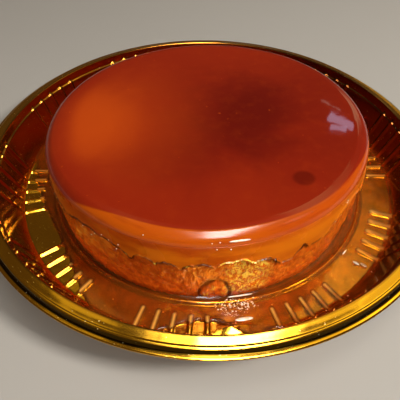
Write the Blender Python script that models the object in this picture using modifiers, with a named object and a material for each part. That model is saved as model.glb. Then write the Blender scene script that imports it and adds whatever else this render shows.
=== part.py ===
"""Round caramel custard turned out on a moulded round serving platter.

Metres, +Z up.  The origin is the centre of the platter's underside.
Four solids: the platter, the set custard, the caramel layer on top of it
and the pool of caramel sauce round its foot.
"""
import math

import bmesh
import bpy
from mathutils import Matrix, Vector

# ---------------------------------------------------------------- platter
SHEET = 0.0009          # thickness of the moulded sheet
FLOOR = SHEET           # height of the floor's upper face
TURN_STEPS = 54         # facets round the turned pieces
BEAD_R = 0.1062         # raised ring that the food sits inside
BEAD_H = 0.0010
BEAD_HALF = 0.0019
FOOT_R = 0.1283         # where the floor bends up into the wall
WALL_TOP = (0.1391, 0.0245)     # radius, height above the floor
BAND_IN = (0.1424, 0.0294)      # inner edge of the rim band
BAND_CREST = (0.1450, 0.0304)
GROOVE = (0.1464, 0.0300)       # fine groove beside the rim's edge
EDGE = (0.1481, 0.0301)         # outer edge of the rim band
SKIRT = (0.1500, 0.0272)        # foot of the short skirt below the edge
LIP_R = 0.1525                  # outer radius of the flat lip

# ribs pressed into floor and wall
RIB_GROUPS = 10
RIBS_PER_GROUP = 5
RIB_STEP = math.radians(4.5)
RIB_TURN = math.radians(8.8)    # middle of the first group
RIB_IN_R = 0.1147               # rounded inner end of a rib
RIB_BEVEL = 0.0011
RIB_LIFT = 0.0003               # rib axis above the surface it follows

# --------------------------------------------------------------- the food
FLAN_AT = Vector((-0.0020, -0.0039, 0.0))   # it sits a little off centre
FLAN_FOOT_R = 0.0999    # the side swells from this radius at the foot
FLAN_R = 0.1020         # to this one where the caramel layer begins
BELLY = 0.0018          # and stands out this much more half way up
FLAN_STEPS = 84
TOP_STEPS = 72
TOP_TURNS = 6           # steps round the shoulder
GAP = 0.0003            # clearance kept between touching solids
CARAMEL_LOW = 0.0484    # lower face of the caramel layer above the floor
CARAMEL_TOP = 0.0549    # middle of the flat top above the floor
SHOULDER_LOW = 0.0462   # where the rounded shoulder begins
FLAT_R = 0.0933         # radius of the flat top
LEAN = (0.026, -0.013)  # rise of the top per metre along X and Y
LEAN_AT = 0.0500        # height above the floor at which it is full
LEDGE_Z = 0.0324        # mean height of the ragged ledge on the side
LEDGE_RECESS = 0.0015   # the lower side is set back by this much
LEDGE_UNDER = 0.0013    # height over which the set-back happens
FOOT_FLARE = 0.0009     # the foot spreads a little where it rests

# scallops of the ledge: middle (degrees), half width (degrees), rise
SCALLOPS = (
    (-152, 12, 0.0040), (-127, 14, 0.0072), (-108.6, 3.4, 0.0040),
    (-101, 3.4, 0.0029), (-91.9, 4.8, 0.0032), (-81.6, 5.6, 0.0051),
    (-73.2, 3.4, 0.0034), (-64.5, 4.5, -0.0046), (-60.3, 2.6, 0.0032),
    (-54, 5, -0.0012), (-38, 11, 0.0090), (-12, 11, 0.0044),
    (10, 9, 0.0024), (27, 7, 0.0038), (46, 11, -0.0022),
    (68, 10, 0.0040), (92, 13, 0.0026), (117, 9, 0.0044),
    (139, 11, -0.0024), (160, 9, 0.0036), (-177, 13, 0.0020),
)

# ------------------------------------------------------------- the sauce
POOL_LEVEL = 0.0022     # surface of the sauce above the floor
POOL_REACH = 0.1279     # where it wets the foot of the wall
POOL_STEPS = 84
POOL_HOLE_STEPS = 60
# dry bays of the outline: middle, reach towards -, reach towards +, depth
BAYS = (
    (-147, 40, 27, 0.0160), (-91, 13, 12, 0.0104), (-74, 5, 4, 0.0022),
    (58, 26, 30, 0.0060), (128, 30, 24, 0.0090),
)


def reset_scene():
    """Clear the file's objects and make the two collections."""
    for old in list(bpy.data.objects):
        bpy.data.objects.remove(old, do_unlink=True)
    made = []
    for name in ("caramel_custard_on_platter", "cutters"):
        col = bpy.data.collections.new(name)
        bpy.context.scene.collection.children.link(col)
        made.append(col)
    return made


PARTS, CUTTERS = reset_scene()


def material(name, colour, roughness, metallic=0.0):
    mat = bpy.data.materials.new(name)
    mat.use_nodes = True
    bsdf = mat.node_tree.nodes["Principled BSDF"]
    bsdf.inputs["Base Color"].default_value = (*colour, 1.0)
    bsdf.inputs["Roughness"].default_value = roughness
    bsdf.inputs["Metallic"].default_value = metallic
    return mat


def add_object(name, mesh, mat=None, cutter=False):
    obj = bpy.data.objects.new(name, mesh)
    (CUTTERS if cutter else PARTS).objects.link(obj)
    if cutter:
        obj.hide_render = True
        obj.display_type = "WIRE"
    if mat:
        mesh.materials.append(mat)
    return obj


def turned(name, profile, steps, mat=None, cutter=False):
    """Turn an open (radius, height) profile, given top to bottom, about Z."""
    mesh = bpy.data.meshes.new(name)
    verts = [(r, 0.0, z) for r, z in profile]
    mesh.from_pydata(verts, [(i, i + 1) for i in range(len(verts) - 1)], [])
    obj = add_object(name, mesh, mat, cutter)
    screw = obj.modifiers.new("turn", "SCREW")
    screw.axis = "Z"
    screw.angle = math.tau
    screw.steps = steps
    screw.render_steps = steps
    screw.use_merge_vertices = True
    screw.merge_threshold = 0.00005
    screw.use_normal_calculate = False
    return obj


def boolean(obj, other, operation):
    mod = obj.modifiers.new(operation.lower(), "BOOLEAN")
    mod.operation = operation
    mod.solver = "EXACT"
    mod.object = other
    return mod


def mesh_of_curve(curve_obj):
    """Evaluate a curve object to a mesh with welded caps and remove it."""
    deps = bpy.context.evaluated_depsgraph_get()
    mesh = bpy.data.meshes.new_from_object(curve_obj.evaluated_get(deps))
    bm = bmesh.new()
    bm.from_mesh(mesh)
    bmesh.ops.remove_doubles(bm, verts=bm.verts, dist=1e-7)
    bmesh.ops.recalc_face_normals(bm, faces=bm.faces)
    bm.to_mesh(mesh)
    bm.free()
    bpy.data.objects.remove(curve_obj, do_unlink=True)
    return mesh


def platter_profile():
    """Upper face from the axis out to the lip, then the underside back."""
    up = [(0.0, 0.0), (BEAD_R - BEAD_HALF, 0.0),
          (BEAD_R - 0.42 * BEAD_HALF, BEAD_H),
          (BEAD_R + 0.42 * BEAD_HALF, BEAD_H),
          (BEAD_R + BEAD_HALF, 0.0), (FOOT_R, 0.0),
          (FOOT_R + 0.0009, 0.0006), (FOOT_R + 0.0015, 0.0022),
          WALL_TOP, BAND_IN, BAND_CREST, GROOVE,
          (EDGE[0] - 0.0008, EDGE[1] + 0.0002), EDGE, SKIRT,
          (LIP_R, SKIRT[1])]
    t = SHEET
    down = [(LIP_R, SKIRT[1] - t), (SKIRT[0] - 0.6 * t, SKIRT[1] - t),
            (EDGE[0] - 0.9 * t, EDGE[1] - t), (GROOVE[0], GROOVE[1] - t),
            (BAND_IN[0] + 0.6 * t, BAND_IN[1] - 0.95 * t),
            (WALL_TOP[0] + t, WALL_TOP[1] - 0.3 * t),
            (FOOT_R + 0.0015 + t, 0.0016), (FOOT_R + 0.0010, -t),
            (0.0, -t)]
    return [(r, FLOOR + z) for r, z in up + down]


def rib_mesh(bevel):
    """One rib on the +X side: along the floor, round the foot, up the wall."""
    curve = bpy.data.curves.new("rib_path", "CURVE")
    curve.dimensions = "3D"
    curve.bevel_depth = bevel
    curve.bevel_resolution = 1
    curve.use_fill_caps = True
    run = Vector((WALL_TOP[0] - FOOT_R - 0.0015, WALL_TOP[1] - 0.0022))
    run.normalize()
    side = Vector((-run.y, run.x)) * RIB_LIFT
    path = [(RIB_IN_R, RIB_LIFT), (FOOT_R - 0.0004, RIB_LIFT),
            (FOOT_R + 0.0013, 0.0022),
            (WALL_TOP[0] + side.x, WALL_TOP[1] + side.y)]
    line = curve.splines.new("POLY")
    line.points.add(len(path) - 1)
    for point, (r, z) in zip(line.points, path):
        point.co = (r, 0.0, FLOOR + z, 1.0)
    obj = bpy.data.objects.new("rib_path", curve)
    CUTTERS.objects.link(obj)
    bpy.context.view_layer.update()
    return mesh_of_curve(obj)


def rib_set(name, bevel):
    """All ribs as one cutter object: groups of ribs turned round the axis."""
    one = rib_mesh(bevel)
    bm = bmesh.new()
    for group in range(RIB_GROUPS):
        middle = RIB_TURN + group * math.tau / RIB_GROUPS
        for k in range(RIBS_PER_GROUP):
            turn = middle + (k - (RIBS_PER_GROUP - 1) / 2) * RIB_STEP
            start = len(bm.verts)
            bm.from_mesh(one)
            bm.verts.ensure_lookup_table()
            bmesh.ops.rotate(bm, verts=bm.verts[start:],
                             cent=(0, 0, 0), matrix=Matrix.Rotation(turn, 3, "Z"))
    mesh = bpy.data.meshes.new(name)
    bm.to_mesh(mesh)
    bm.free()
    bpy.data.meshes.remove(one)
    return add_object(name, mesh, cutter=True)


def wrap(degrees):
    return (degrees + 180.0) % 360.0 - 180.0


def ledge_height(angle):
    """Ledge height: the mean plus one rounded arch for each scallop."""
    deg = math.degrees(angle)
    rise = 0.0
    for middle, half, height in SCALLOPS:
        d = abs(wrap(deg - middle)) / half
        if d < 1.0:
            rise += height * math.sqrt(1.0 - d * d)
    return LEDGE_Z + rise


def side_radius(angle, height):
    """Radius of the bellied side, with the unevenness of a turned-out food."""
    if height > SHOULDER_LOW:
        share = (height - SHOULDER_LOW) / (CARAMEL_TOP - SHOULDER_LOW)
        return FLAT_R + (FLAN_R - FLAT_R) * math.sqrt(1.0 - share * share)
    up = height / SHOULDER_LOW
    return FLAN_FOOT_R + (FLAN_R - FLAN_FOOT_R) * up \
        + BELLY * math.sin(math.pi * up) \
        + 0.00022 * math.sin(3 * angle + 0.6) \
        + 0.00012 * math.sin(7 * angle + 2.0)


def pool_radius(angle):
    """Outer radius of the sauce: its full reach less the dry bays."""
    deg = math.degrees(angle)
    cut = 0.0
    for middle, low, high, depth in BAYS:
        d = wrap(deg - middle)
        d = d / high if d > 0 else -d / low
        if d < 1.0:
            cut = max(cut, depth * math.cos(d * math.pi / 2) ** 0.9)
    return POOL_REACH - cut


def ring(radius_of, height_of, steps):
    """One closed ring about the food's own axis, at heights above the floor.

    The food stands a little higher on one side: each point rises with its
    height and with its place along X and Y.
    """
    points = []
    for k in range(steps):
        a = math.tau * k / steps
        h = height_of(a)
        r = radius_of(a, h)
        x = FLAN_AT.x + r * math.cos(a)
        y = FLAN_AT.y + r * math.sin(a)
        lift = (LEAN[0] * x + LEAN[1] * y) * h / LEAN_AT
        points.append(Vector((x, y, FLOOR + h + lift)))
    return points


def loft(name, rings, mat):
    """Close a stack of rings, lowest first, with two fans and side quads."""
    bm = bmesh.new()
    rows = [[bm.verts.new(p) for p in r] for r in rings]
    n = len(rows[0])
    for low, high in zip(rows, rows[1:]):
        for k in range(n):
            j = (k + 1) % n
            bm.faces.new((low[k], low[j], high[j], high[k]))
    for row, flip in ((rows[0], True), (rows[-1], False)):
        height = sum(v.co.z for v in row) / n
        hub = bm.verts.new((FLAN_AT.x, FLAN_AT.y, height))
        for k in range(n):
            j = (k + 1) % n
            trio = (hub, row[j], row[k]) if flip else (hub, row[k], row[j])
            bm.faces.new(trio)
    mesh = bpy.data.meshes.new(name)
    bm.to_mesh(mesh)
    bm.free()
    return add_object(name, mesh, mat)


def build_platter():
    mat = material("platter_gold", (0.62, 0.38, 0.09), 0.16, 0.9)
    platter = turned("platter", platter_profile(), TURN_STEPS, mat)
    boolean(platter, rib_set("rib_cores", RIB_BEVEL), "UNION")
    return platter


def build_custard():
    """The side is smooth above the ragged ledge and set back below it."""
    mat = material("custard_side", (0.70, 0.27, 0.045), 0.32)
    top = CARAMEL_LOW - GAP

    def above(a, h):
        return side_radius(a, h) + LEDGE_RECESS / 3

    def below(a, h):
        return side_radius(a, h) - LEDGE_RECESS * 2 / 3

    rings = [
        ring(lambda a, h: below(a, h) + FOOT_FLARE - 0.0008,
             lambda a: GAP, FLAN_STEPS),
        ring(lambda a, h: below(a, h) + FOOT_FLARE,
             lambda a: GAP + 0.0010, FLAN_STEPS),
        ring(below, lambda a: GAP + 0.0080, FLAN_STEPS),
        ring(below, lambda a: ledge_height(a) - LEDGE_UNDER, FLAN_STEPS),
        ring(above, lambda a: ledge_height(a), FLAN_STEPS),
        ring(side_radius, lambda a: top, FLAN_STEPS),
    ]
    return loft("custard", rings, mat)


def build_caramel_top():
    """A flat disc whose broad shoulder rounds over to the side."""
    mat = material("caramel_layer", (0.34, 0.045, 0.010), 0.08)
    rise = CARAMEL_TOP - SHOULDER_LOW
    start = math.asin((CARAMEL_LOW - SHOULDER_LOW) / rise)
    profile = []
    for k in range(TOP_TURNS + 1):
        a = start + (math.pi / 2 - start) * k / TOP_TURNS
        profile.append((FLAT_R + (FLAN_R - FLAT_R) * math.cos(a),
                        SHOULDER_LOW + rise * math.sin(a)))
    rings = [ring(lambda a, h, r=r: r, lambda a, z=z: z, TOP_STEPS)
             for r, z in profile]
    return loft("caramel_top", rings, mat)


def build_pool():
    """A flat sheet of sauce with an uneven edge, hollowed over the ribs."""
    mat = material("caramel_sauce", (0.45, 0.12, 0.015), 0.06)
    thick = POOL_LEVEL - GAP
    curve = bpy.data.curves.new("pool_outline", "CURVE")
    curve.dimensions = "2D"
    curve.fill_mode = "BOTH"
    curve.extrude = thick / 2
    inner = FLAN_FOOT_R + 0.0005 + GAP
    for steps, radius_of, centre in (
            (POOL_STEPS, pool_radius, Vector((0, 0, 0))),
            (POOL_HOLE_STEPS, lambda a: inner, FLAN_AT)):
        line = curve.splines.new("POLY")
        line.points.add(steps - 1)
        line.use_cyclic_u = True
        for k, point in enumerate(line.points):
            a = math.tau * (k + 0.5) / steps
            r = radius_of(a)
            point.co = (centre.x + r * math.cos(a),
                        centre.y + r * math.sin(a), 0.0, 1.0)
    outline = bpy.data.objects.new("pool_outline", curve)
    CUTTERS.objects.link(outline)
    bpy.context.view_layer.update()
    mesh = mesh_of_curve(outline)
    mesh.transform(Matrix.Translation((0, 0, FLOOR + GAP + thick / 2)))
    mesh.materials.clear()
    pool = add_object("caramel_pool", mesh, mat)
    # the sheet keeps its clearance over the raised ring and the ribs
    r, z, w = BEAD_R, FLOOR, BEAD_HALF + GAP
    groove = turned("bead_groove", [
        (r - w, z), (r - w, z + GAP), (r - 0.42 * w, z + BEAD_H + GAP),
        (r + 0.42 * w, z + BEAD_H + GAP), (r + w, z + GAP), (r + w, z),
        (r - w, z)], TURN_STEPS, cutter=True)
    boolean(pool, groove, "DIFFERENCE")
    boolean(pool, rib_set("rib_clearance", RIB_BEVEL + GAP), "DIFFERENCE")
    return pool


for piece in (build_platter(), build_custard(), build_caramel_top(),
              build_pool()):
    piece.data.shade_smooth()
    piece.data.set_sharp_from_angle(angle=math.radians(35))
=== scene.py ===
from itertools import product
from math import acos, ceil, cos, pi, radians, sin, tau

import bpy
import numpy as np
from bpy.props import FloatProperty, FloatVectorProperty, IntProperty, PointerProperty
from bpy.types import Operator, Panel, PropertyGroup
from mathutils import Matrix, Vector


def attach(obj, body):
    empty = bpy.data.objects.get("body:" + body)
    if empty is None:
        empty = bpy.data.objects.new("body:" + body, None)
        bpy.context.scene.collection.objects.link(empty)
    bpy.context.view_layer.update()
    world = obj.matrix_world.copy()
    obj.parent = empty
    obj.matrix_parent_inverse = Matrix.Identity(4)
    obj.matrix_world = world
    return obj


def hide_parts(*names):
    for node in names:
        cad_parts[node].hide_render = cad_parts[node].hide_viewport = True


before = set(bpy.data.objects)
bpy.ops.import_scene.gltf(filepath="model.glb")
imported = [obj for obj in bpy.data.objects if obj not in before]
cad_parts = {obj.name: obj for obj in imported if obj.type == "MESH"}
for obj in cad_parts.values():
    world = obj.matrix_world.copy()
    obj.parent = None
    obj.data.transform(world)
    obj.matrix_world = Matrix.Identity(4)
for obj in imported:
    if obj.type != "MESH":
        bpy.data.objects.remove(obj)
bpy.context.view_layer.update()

bl_info = {
    "name": "Caramel Custard on a Platter",
    "version": (1, 0, 0),
    "blender": (4, 5, 0),
    "location": "3D View > Sidebar > Custard",
    "description": "Dresses the solids of a turned-out caramel custard",
    "category": "Add Mesh",
}


# ---------- small maths
def display(*shown):
    """Linear colour of a 0..255 display colour."""
    levels = [value / 255 for value in shown]
    return tuple(v / 12.92 if v <= 0.04045 else ((v + 0.055) / 1.055) ** 2.4 for v in levels)


def dimmed(colour, *by):
    """A colour times one number, or times one number for each channel."""
    return tuple(c * k for c, k in zip(colour, by * (3 // len(by))))


def smooth(low, high, x):
    """0 below low, 1 above high, an eased ramp 3t^2 - 2t^3 between."""
    t = unit((x - low) / (high - low))
    return t * t * (3 - 2 * t)


def unit(x):
    """The value held between 0 and 1."""
    return np.clip(x, 0, 1)


def bell(x, width):
    """1 at zero, falling away evenly on both sides over the width."""
    return np.exp(-(x / width) ** 2)


def wrap(angle):
    """Angle brought into -pi..pi."""
    return (angle + pi) % tau - pi


def lattice(ix, iy, iz, seed):
    """A fixed scrambled number in 0..1 for each whole lattice point."""
    n = (ix.astype(np.int64) * 73856093) ^ (iy.astype(np.int64) * 19349663)
    n = n ^ (iz.astype(np.int64) * 83492791) ^ (seed * 2654435)
    n = (n ^ (n >> 13)) & 0x7FFFFFFF
    n = (n * 60493 + 19990303) & 0x7FFFFFFF
    n = (n ^ (n >> 11)) & 0x7FFFFFFF
    n = (n * 16807) & 0x7FFFFFFF
    return (n % 100003) / 100003


def draws(count, stride, seed):
    """Five fixed scrambled numbers in 0..1 for each of count things."""
    k = np.arange(count)
    return [lattice(k + stride * s, k * 0 + s, k * 0, seed) for s in range(5)]


def grain(point, rate, seed):
    """Value noise, -1..1: lattice numbers blended with eased weights."""
    point = [p * r for p, r in zip(point, np.broadcast_to(rate, 3))]
    floors = [np.floor(p) for p in point]
    eased = [smooth(0, 1, p - low) for p, low in zip(point, floors)]
    total = 0
    for corner in product((0, 1), repeat=3):
        wx, wy, wz = (t if step else 1 - t for step, t in zip(corner, eased))
        at = (low + step for step, low in zip(corner, floors))
        total = total + wx * wy * wz * lattice(*at, seed)
    return 2 * total - 1


def layered(point, rate, octaves, seed, gain=0.5):
    """Sum of noises, each of twice the rate and gain times the height."""
    point = [p * r for p, r in zip(point, np.broadcast_to(rate, 3))]
    total, height, finer = 0, 1, 1
    for k in range(octaves):
        total = total + height * grain(point, finer, seed + k)
        height, finer = height * gain, finer * 2.03
    return total


# ---------- outlines, meshes
def rounded(points, per_corner):
    """A (radius, height, fillet) outline with its corners eased.

    Each becomes a quadratic curve that starts and ends a fillet away, with
    the corner as its control point.
    """
    spots = [np.array(p[:2]) for p in points]
    t = np.linspace(0, 1, per_corner)[:, None]
    out = [spots[0]]
    for before, here, after, corner in zip(spots, spots[1:], spots[2:], points[1:]):
        a, b = (here + (side - here)
                * min(0.5, corner[2] / max(np.linalg.norm(side - here), 1e-9))
                for side in (before, after))
        out.extend((1 - t) ** 2 * a + 2 * t * (1 - t) * here + t ** 2 * b)
    out.append(spots[-1])
    return np.array(out)


def refine(line, step_at):
    """The outline with points no further apart than step_at(radius)."""
    out = [line[0]]
    for a, b in zip(line[:-1], line[1:]):
        run = np.linalg.norm(b - a)
        if run < 1e-7:
            continue
        count = max(1, ceil(run / step_at((a[0] + b[0]) / 2)))
        t = np.arange(1, count + 1)[:, None] / count
        out.extend(a + (b - a) * t)
    return np.array(out)


def outline_normals(line):
    """Unit normals of an outline, to the left of its run."""
    run = np.gradient(line, axis=0)
    run /= np.linalg.norm(run, axis=1)[:, None] + 1e-12
    return np.c_[-run[:, 1], run[:, 0]]


def turned_grid(angles, radius, height):
    """Points at the given radii and heights, round the axis."""
    x, y = radius * np.cos(angles), radius * np.sin(angles)
    return np.stack([x, y, height + 0 * x], -1)


def mesh_piece(name, verts, *faces):
    """A smooth-shaded object from arrays of points, quads and triangles."""
    mesh = bpy.data.meshes.new(name)
    mesh.from_pydata(verts, (), [face for kind in faces for face in kind.tolist()])
    mesh.shade_smooth()
    mesh.validate()
    piece = bpy.data.objects.new(name, mesh)
    bpy.context.scene.collection.objects.link(piece)
    return piece


def woven(shape, poles):
    """Quads and triangles of a grid whose columns run round.

    With poles, triangles close both ends; without, the last row joins the
    first.
    """
    index = np.arange(shape[0] * shape[1]).reshape(shape[:2])
    right = np.roll(index, -1, 1)
    quads = np.stack([index, right, np.roll(right, -1, 0), np.roll(index, -1, 0)], -1)
    if not poles:
        return quads.reshape(-1, 4), np.zeros((0, 3), int)
    pole = np.full(shape[1], index.size)
    return quads[:-1].reshape(-1, 4), np.vstack([
        np.stack([pole, right[0], index[0]], -1),
        np.stack([pole + 1, index[-1], right[-1]], -1)])


def surface(name, grid, poles=True):
    """Mesh of a (rows, columns, 3) grid, turned outwards by its volume.

    With poles the first and last row shrink to one point each.
    """
    body = grid[1:-1] if poles else grid
    verts = body.reshape(-1, 3)
    if poles:
        verts = np.vstack([verts, grid[0].mean(0), grid[-1].mean(0)])
    quads, tris = woven(body.shape, poles)
    a, b, c = verts[np.r_[quads[:, :3], quads[:, [0, 2, 3]], tris].T]
    if (a * np.cross(b, c)).sum() < 0:
        quads, tris = quads[:, ::-1], tris[:, ::-1]
    return mesh_piece(name, verts, quads, tris)


def noted(piece, name, values, poles=True):
    """Store one number per point of a grid's mesh."""
    if poles:
        values = np.r_[values[1:-1].ravel(), values[0].mean(), values[-1].mean()]
    layer = piece.data.attributes.new(name, "FLOAT", "POINT")
    layer.data.foreach_set("value", values.ravel().astype(np.float32))
    return piece


# ---------- shader maths
def maths(operation, swapped=False):
    """An operator between two values that adds one Math node."""
    def operator(value, other):
        terms = (other, value) if swapped else (value, other)
        return value.finish.add("ShaderNodeMath", {"operation": operation}, dict(enumerate(terms)))
    return operator


class Value:
    """One output in a material, with written-out maths."""

    __add__ = __radd__ = maths("ADD")
    __mul__ = __rmul__ = maths("MULTIPLY")
    __sub__, __rsub__ = maths("SUBTRACT"), maths("SUBTRACT", True)
    __truediv__, __rtruediv__ = maths("DIVIDE"), maths("DIVIDE", True)
    __pow__, __rpow__ = maths("POWER"), maths("POWER", True)

    def __init__(self, finish, socket):
        self.finish, self.socket = finish, socket

    def ramp(self, low, high):
        """Eased from 0 to 1 while this value goes from low to high."""
        return self.finish.add(
            "ShaderNodeMapRange", {"interpolation_type": "SMOOTHSTEP"},
            {0: self, 1: low, 2: high})

    def band(self, low, full, fade, gone):
        """Eased up from low to full, and down again from fade to gone."""
        return self.ramp(low, full) * (1 - self.ramp(fade, gone))


class Finish:
    """A material made node by node, ending in a Principled shader."""

    def __init__(self, name):
        self.material = bpy.data.materials.new(name)
        self.material.use_nodes = True
        self.tree = self.material.node_tree
        self.tree.nodes.clear()
        self.place = self.add("ShaderNodeTexCoord", out="Object")
        self.x, self.y, self.z = (
            self.add("ShaderNodeSeparateXYZ", {}, {0: self.place}, out=k)
            for k in range(3))

    def add(self, kind, settings=None, sockets=None, out=0):
        """One node: its settings, then its socket values or links."""
        node = self.tree.nodes.new(kind)
        for key, value in (settings or {}).items():
            setattr(node, key, value)
        for key, value in (sockets or {}).items():
            socket = node.inputs[key]
            if isinstance(value, Value):
                self.tree.links.new(value.socket, socket)
            elif isinstance(value, (int, float)) or len(value) == len(socket.default_value):
                socket.default_value = value
            else:
                socket.default_value = (*value, 1)
        return None if out is None else Value(self, node.outputs[out])

    def noise(self, scale, detail, rough, twist=0, at=None):
        return self.add("ShaderNodeTexNoise", {}, {
            "Vector": at or self.place, "Scale": scale, "Detail": detail,
            "Roughness": rough, "Distortion": twist})

    def stretched(self, scale):
        """Object coordinates scaled by a Mapping node."""
        return self.add("ShaderNodeMapping", {}, {"Vector": self.place, "Scale": scale})

    def mix(self, mask, low, high):
        """Colour that goes from low to high as the mask goes 0 to 1."""
        return self.add("ShaderNodeMix", {"data_type": "RGBA", "clamp_factor": True},
                        {0: mask, 6: low, 7: high}, out=2)

    def coats(self, colour, *coats):
        """A colour with (mask, colour) coats laid over it in turn."""
        for mask, coat in coats:
            colour = self.mix(mask, colour, coat)
        return colour

    def distance(self, x0=0, y0=0, rx=1, ry=1):
        """Distance from a middle, in half-widths of an oval if given."""
        u = (self.x - x0) / rx
        v = (self.y - y0) / ry
        return (u * u + v * v) ** 0.5

    def around(self, x0, y0):
        """Angle about an upright axis, 0 along X, -pi..pi."""
        return maths("ARCTAN2")(self.y - y0, self.x - x0)

    def note(self, name):
        """A number stored on the piece's own points."""
        return self.add("ShaderNodeAttribute", {"attribute_name": name}, out=2)

    def bump(self, height, strength, reach):
        return self.add("ShaderNodeBump", {}, {
            "Strength": strength, "Distance": reach, "Height": height})

    def shader(self, sockets):
        return self.add("ShaderNodeBsdfPrincipled", {}, sockets)

    def close(self, shader):
        """The shader on the material's output; the material is done."""
        self.add("ShaderNodeOutputMaterial", {}, {0: shader}, out=None)
        return self.material

    def finish(self, sockets):
        return self.close(self.shader(sockets))


# ---------- settings
def setting(kind, **fixed):
    """A maker of settings of one kind."""
    return lambda name, default, description: kind(
        name=name, default=default, description=description, **fixed)


metres = setting(FloatProperty, unit="LENGTH")
turn = setting(FloatProperty, subtype="ANGLE")
whole = setting(IntProperty, min=1)
plain = setting(FloatProperty)
tint = setting(FloatVectorProperty, subtype="COLOR", size=3)


class PlatterSizes(PropertyGroup):
    sheet: metres("Sheet", 0.0009, "Thickness of the moulded sheet")
    foot_radius: metres("Foot radius", 0.1288, "Where the floor bends into the wall")
    lip_radius: metres("Lip radius", 0.1522, "Outer radius of the flat lip")
    ring_radius: metres("Ring radius", 0.1068, "Raised ring round the food")
    ring_height: metres("Ring height", 0.0018, "Height of the raised ring")
    rib_height: metres("Rib height", 0.0011, "How far a rib stands out")
    rib_width: metres("Rib half width", 0.0016, "Half the width of a rib")
    rib_inner: metres("Rib inner radius", 0.1147, "Where the ribs begin")
    rib_groups: whole("Rib groups", 10, "Groups of ribs round the platter")
    ribs_in_group: whole("Ribs in a group", 5, "Ribs in each group")
    rib_step: turn("Rib step", radians(4.5), "Angle from rib to rib in a group")
    rib_turn: turn("Rib turn", radians(8.8), "Angle of the first group's middle")


class FoodSizes(PropertyGroup):
    centre_x: metres("Centre X", -0.002, "How far the food sits off the middle")
    centre_y: metres("Centre Y", -0.0039, "How far the food sits off the middle")
    foot_radius: metres("Foot radius", 0.0999, "Radius of the custard's foot")
    radius: metres("Radius", 0.102, "Radius where the layer begins")
    belly: metres("Belly", 0.0018, "How far the side swells half way up")
    layer_low: metres("Layer's underside", 0.0484, "Height of the layer's lower face")
    layer_top: metres("Layer's top", 0.0549, "Height of the flat top's middle")
    shoulder_low: metres("Shoulder's foot", 0.0462, "Height where the shoulder begins")
    flat_radius: metres("Flat radius", 0.0933, "Radius of the flat top")
    lean_x: plain("Lean X", 0.026, "Rise of the top per metre along X")
    lean_y: plain("Lean Y", -0.013, "Rise of the top per metre along Y")
    lean_height: metres("Lean height", 0.05, "Height at which the lean is full")
    crease: metres("Crease", 0.0508, "Height of the faint crease in the layer's side")
    ledge: metres("Ledge", 0.0324, "Mean height of the torn ledge")
    recess: metres("Recess", 0.0015, "Set-back of the side below the ledge")


class SyrupSizes(PropertyGroup):
    level: metres("Level", 0.0016, "Height of the syrup above the floor")
    reach: metres("Reach", 0.13, "Radius where it wets the wall's foot")
    film: metres("Film", 0.0002, "Thickness of the film over the ribs")
    edge: metres("Edge", 0.001, "Width of the rounded edge")
    bubbles: whole("Bubbles", 46, "Small bubbles along the front edge")
    # the froth count also sets the painted glint specks on the torn side, half as many
    froth: whole("Froth", 130, "Pale specks of froth before the food")


class LookColours(PropertyGroup):
    gold: tint("Gold", (0.92, 0.47, 0.035), "Reflecting film on the platter")
    caramel_red: tint("Caramel", display(150, 38, 13), "Middle tone of the glossy top")
    caramel_dark: tint("Dark caramel", display(101, 14, 9), "Where it is thickest")
    caramel_amber: tint("Amber caramel", display(200, 76, 16), "Where it is thinnest")
    # painted glow: light seen through the caramel layer's rounded edge
    shoulder: tint("Shoulder", display(200, 90, 8), "Glow of the layer's rounded edge")
    side: tint("Side", display(228, 122, 18), "Smooth side of the custard")
    side_deep: tint("Side stain", display(192, 78, 12), "Caramel-stained side")
    torn: tint("Torn side", display(222, 108, 22), "Rough lower side")
    # painted highlight colour: glints on the torn front, the ledge's lip and the arch's strokes
    painted_glint: tint("Flakes", display(255, 210, 78), "Bright flakes and lips on the side")
    syrup: tint("Syrup", (0.95, 0.7, 0.25), "Tint of the clear syrup")
    syrup_body: tint("Syrup body", (0.5, 0.12, 0.01), "The syrup's cloudy part")


class StageSizes(PropertyGroup):
    floor: metres("Floor", 6, "Size of the plain floor")
    lens: plain("Lens", 40.6, "Focal length in millimetres")


# ---------- shared shapes
RING_HALF_WIDTH = 0.0016

# crease in the floor: middle and half width (degrees), radii of foot and
# top, run down from the top, height
CREASE = (-83.3, 2.7, 0.119, 0.1216, 0.005, 0.0014)

# scallops of the torn ledge: middle and half width (degrees), rise
SCALLOPS = (
    (-152, 12, 0.004), (-127, 14, 0.0072), (-108.6, 3.4, 0.004),
    (-101, 3.4, 0.0029), (-91.9, 4.8, 0.0032), (-81.6, 5.6, 0.0051),
    (-73.2, 3.4, 0.0034), (-64.5, 4.5, -0.0046), (-60.3, 2.6, 0.0032),
    (-54, 5, -0.0012), (-38, 11, 0.009), (-12, 11, 0.0044),
    (10, 9, 0.0024), (27, 7, 0.0038), (46, 11, -0.0022),
    (68, 10, 0.004), (92, 13, 0.0026), (117, 9, 0.0044),
    (139, 11, -0.0024), (160, 9, 0.0036), (-177, 13, 0.002),
)

# dry bays of the syrup: middle, reach towards -, reach towards +, depth
BAYS = (
    (-147, 40, 27, 0.0175), (-91, 13, 12, 0.012), (-74, 5, 4, 0.0026),
    (58, 26, 30, 0.008), (128, 30, 24, 0.011),
)


def rib_angles(platter):
    """Angle of every rib: groups turned evenly, ribs stepped inside each."""
    group = np.arange(platter.rib_groups) * tau / platter.rib_groups
    place = np.arange(platter.ribs_in_group) - (platter.ribs_in_group - 1) / 2
    return wrap(platter.rib_turn + group[:, None] + place * platter.rib_step).ravel()


def round_angles(platter):
    """Angles round the platter, close together across each rib."""
    across = np.radians(np.linspace(-1.08, 1.08, 11))
    fine = (rib_angles(platter)[:, None] + across).ravel()
    coarse = np.radians(np.arange(0, 360, 1.5))
    coarse = coarse[np.abs(rib_offset(platter, coarse)) > radians(1.35)]
    return np.sort(np.concatenate([fine % tau, coarse % tau]))


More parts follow.
